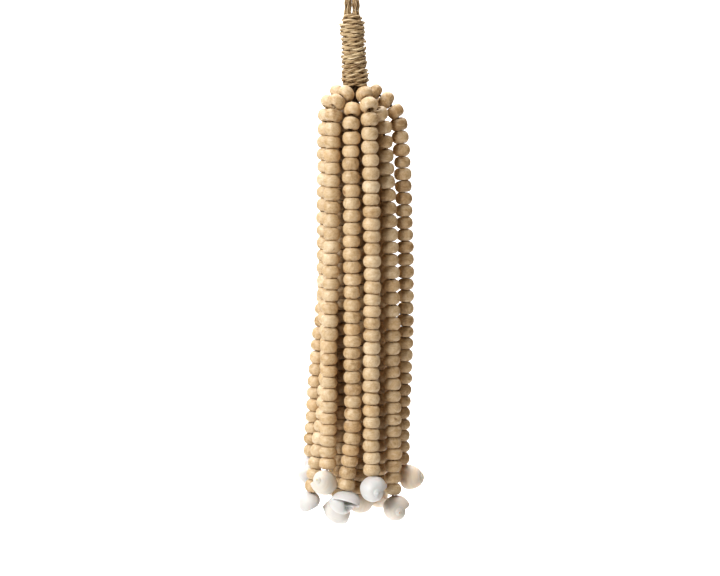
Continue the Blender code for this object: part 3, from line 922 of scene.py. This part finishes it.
def twine_course(chance):
    """The twine's middle line, wound down the neck in uneven turns."""
    top, bottom = np.array(NECK_TOP), np.array(NECK_BOTTOM)
    length = top[2] - bottom[2]
    share = np.linspace(0, 1, TWINE_STEPS)
    angle = 2 * math.pi * TWINE_TURNS * share + TWINE_START
    drop = TWINE_FIRST_DROP + (length - TWINE_LAST_RISE - TWINE_FIRST_DROP) * share
    tilt = np.interp(drop, *np.array(TWINE_TILT).T)
    drop = drop + slow_waves(angle, *TWINE_DROP_WAVES, chance) - tilt * np.cos(angle)
    drop = np.clip(drop, TWINE_FIRST_DROP, length - TWINE_LAST_RISE)
    radius = neck_radius(drop) - TWINE_PLIES.radius - TWINE_INSET
    radius = radius + slow_waves(angle, *TWINE_OUT_WAVES, chance)
    centre = top[None] + (bottom - top)[None] * (drop / length)[:, None]
    course = centre + np.stack([radius * np.cos(angle), radius * np.sin(angle), 0 * angle], axis=1)
    return resample(course, TWINE_SPACING)


def neck_twine(material):
    """The whipping twine: two plies, its loose fibres and its cut ends."""
    chance = random.Random(TWINE_SEED)
    course = twine_course(chance)
    mesh = Mesh()
    add_plies(mesh, course, TWINE_PLIES, chance)
    fuzz(mesh, course, *TWINE_FUZZ, chance)
    for reach, height in TWINE_ENDS:
        start = np.array([*TWINE_END_ROOT, height - TWINE_END_LIFT])
        end = np.array([reach, TWINE_END_FRONT, height + TWINE_END_LIFT])
        add_plies(mesh, np.linspace(start, end, TWINE_END_STEPS), TWINE_END_PLIES, chance)
    piece = mesh.build("whipping_twine", material)
    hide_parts("neck_wrap")


def neck_core(material):
    """The gathered cords inside the whipping, seen only between its turns."""
    top, bottom = np.array(NECK_TOP), np.array(NECK_BOTTOM)
    share = np.linspace(*CORE_SHARES, CORE_STEPS)
    course = top[None] + (bottom - top)[None] * share[:, None]
    radii = neck_radius((top[2] - bottom[2]) * share) - CORE_INSET
    mesh = Mesh()
    add_tube(mesh, course, radii, CORE_SIDES, CORE_ROUGH, CORE_TONE, random.Random(CORE_SEED))
    mesh.build("neck_core", material)


def loop_course():
    """The loop's middle line, as the part has it."""
    course = list(LEG_COURSE)
    for degrees in CROWN_ANGLES:
        angle = math.radians(degrees)
        course.append((CROWN_RADIUS * math.cos(angle), CROWN_CENTRE + CROWN_RADIUS * math.sin(angle)))
    lean = NECK_TOP[0] / NECK_TOP[2]
    left = [Vector((min(height, 0) * lean - apart, 0, height)) for apart, height in course]
    right = [Vector((min(height, 0) * lean + apart, 0, height)) for apart, height in course[:-1]]
    return np.array(smooth_path(left + right[::-1]))


# Each cord's place in a leg: outwards from the loop's middle, and to the front.
LOOP_CORDS = ((1.30, -0.4), (-0.25, 0.9), (-1.75, -0.5))
LOOP_PLIES = Plies(0.68, 0.52, -15.0, 9, 0.13, 0.40)
LOOP_SPACING = 0.8
# How far its ends run down into the neck.
LOOP_TUCK = 3.0
LOOP_WAVE_RATE = 0.45
LOOP_OUT_WAVES = (3, 0.10)
LOOP_FRONT_WAVES = (3, 0.20)
LOOP_FUZZ = (150, 1.2, 3.4)


def loop_cords(material):
    """Three wavy two-ply cords, side by side round the whole loop."""
    course = resample(loop_course(), LOOP_SPACING)
    tuck = np.array([[0, 0, LOOP_TUCK]])
    course = resample(np.concatenate([course[:1] - tuck, course, course[-1:] - tuck]), LOOP_SPACING)
    _, first, second = path_frames(course)
    waves = distances_along(course) * LOOP_WAVE_RATE
    chance = random.Random(LOOP_SEED)
    for number, (outward, forward) in enumerate(LOOP_CORDS):
        out = outward + slow_waves(waves, *LOOP_OUT_WAVES, chance)
        front = forward + slow_waves(waves, *LOOP_FRONT_WAVES, chance)
        middle = course + second * out[:, None] - first * front[:, None]
        mesh = Mesh()
        add_plies(mesh, middle, LOOP_PLIES, chance, number)
        fuzz(mesh, middle, *LOOP_FUZZ, chance)
        mesh.build(f"loop_cord_{number + 1}", material)
    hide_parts("hanging_loop")


# ------------------------------------------------------------ stage

SCENE_PIXEL = 0.68
VIEW_DISTANCE = 1400.0
VIEW_DOWN = math.radians(5.5)
VIEW_TARGET = (4.08, 0.0, -243.44)
SENSOR_WIDTH = 36.0
PICTURE_WIDTH = 720

# The sweep, in metres: its front edge, where it bends up and how wide the bend is,
# the heights of its floor and its top, and half its width.
SWEEP_FRONT = -2.5
SWEEP_BEND = 1.2
SWEEP_RADIUS = 1.2
SWEEP_FLOOR = -1.0
SWEEP_TOP = 3.5
SWEEP_HALF_WIDTH = 1.6
SWEEP_STEPS = 8


def camera():
    """A long lens in front of the tassel, a little above its middle."""
    data = bpy.data.cameras.new("camera")
    data.sensor_width = SENSOR_WIDTH
    data.lens = SENSOR_WIDTH * VIEW_DISTANCE / (PICTURE_WIDTH * SCENE_PIXEL)
    data.clip_end = 30
    eye = bpy.data.objects.new("camera", data)
    bpy.context.scene.collection.objects.link(eye)
    back = Vector((0, -math.cos(VIEW_DOWN), math.sin(VIEW_DOWN))) * VIEW_DISTANCE
    eye.location = (Vector(VIEW_TARGET) + back) * MM
    eye.rotation_euler = (math.pi / 2 - VIEW_DOWN, 0, 0)
    bpy.context.scene.camera = eye


def backdrop():
    """A pale seamless sweep: a floor far below and a wall far behind."""
    nodes = Nodes("paper_sweep")
    nodes.shader.inputs["Base Color"].default_value = (0.93, 0.93, 0.93, 1)
    nodes.shader.inputs["Roughness"].default_value = 0.9
    profile = [(SWEEP_FRONT, SWEEP_FLOOR)]
    for step in range(SWEEP_STEPS + 1):
        angle = math.pi / 2 * step / SWEEP_STEPS
        away = SWEEP_BEND + SWEEP_RADIUS * math.sin(angle)
        profile.append((away, SWEEP_FLOOR + SWEEP_RADIUS * (1 - math.cos(angle))))
    profile.append((SWEEP_BEND + SWEEP_RADIUS, SWEEP_TOP))
    points = [(x, y, z) for y, z in profile for x in (-SWEEP_HALF_WIDTH, SWEEP_HALF_WIDTH)]
    faces = [(2 * i, 2 * i + 1, 2 * i + 3, 2 * i + 2) for i in range(len(profile) - 1)]
    mesh = bpy.data.meshes.new("sweep")
    mesh.from_pydata(points, [], faces)
    mesh.shade_smooth()
    mesh.materials.append(nodes.material)
    sweep = bpy.data.objects.new("sweep", mesh)
    bpy.context.scene.collection.objects.link(sweep)


def area_light(name, place, aim, size, power, colour=(1, 1, 1)):
    """A square soft light, aimed at a point."""
    data = bpy.data.lights.new(name, "AREA")
    data.size = size
    data.energy = power
    data.color = colour
    lamp = bpy.data.objects.new(name, data)
    lamp.location = place
    lamp.rotation_euler = (Vector(aim) - Vector(place)).to_track_quat("-Z", "Y").to_euler()
    bpy.context.scene.collection.objects.link(lamp)


def lighting():
    """A large soft key from the left, a weak warm fill and a low surround."""
    area_light("key", (-1.20, -1.25, 0.75), (0, 0, -0.25), 1.0, 46, (0.97, 0.985, 1.0))
    area_light("fill", (1.40, -1.30, 0.10), (0, 0, -0.25), 0.8, 4, (1.0, 0.86, 0.70))
    area_light("wash", (0.0, 0.9, 1.6), (0, 2.3, 0.0), 2.2, 125)
    world = bpy.data.worlds.new("surround")
    world.use_nodes = True
    world.node_tree.nodes["Background"].inputs["Color"].default_value = (1.0, 0.93, 0.86, 1)
    world.node_tree.nodes["Background"].inputs["Strength"].default_value = 0.05
    bpy.context.scene.world = world
    bpy.context.scene.view_settings.view_transform = "Standard"
    bpy.context.scene.view_settings.look = "Medium High Contrast"


# ------------------------------------------------------------ assembly


def main():
    """Build every piece and set the stage."""
    camera()
    wood = wood_material()
    jute = jute_material()
    pearl = shell_material()
    for letter in LETTERS:
        beads = bead_string(letter, wood)
        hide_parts(f"bead_string_{letter}")
        places = snail_shell(letter, pearl)
        low_end = string_ends(letter)[1]
        nearest = places[np.argmin(np.linalg.norm(places - low_end, axis=1))]
        string_thread(letter, nearest, jute)
    neck_core(jute)
    neck_twine(jute)
    loop_cords(jute)
    backdrop()
    lighting()


main()
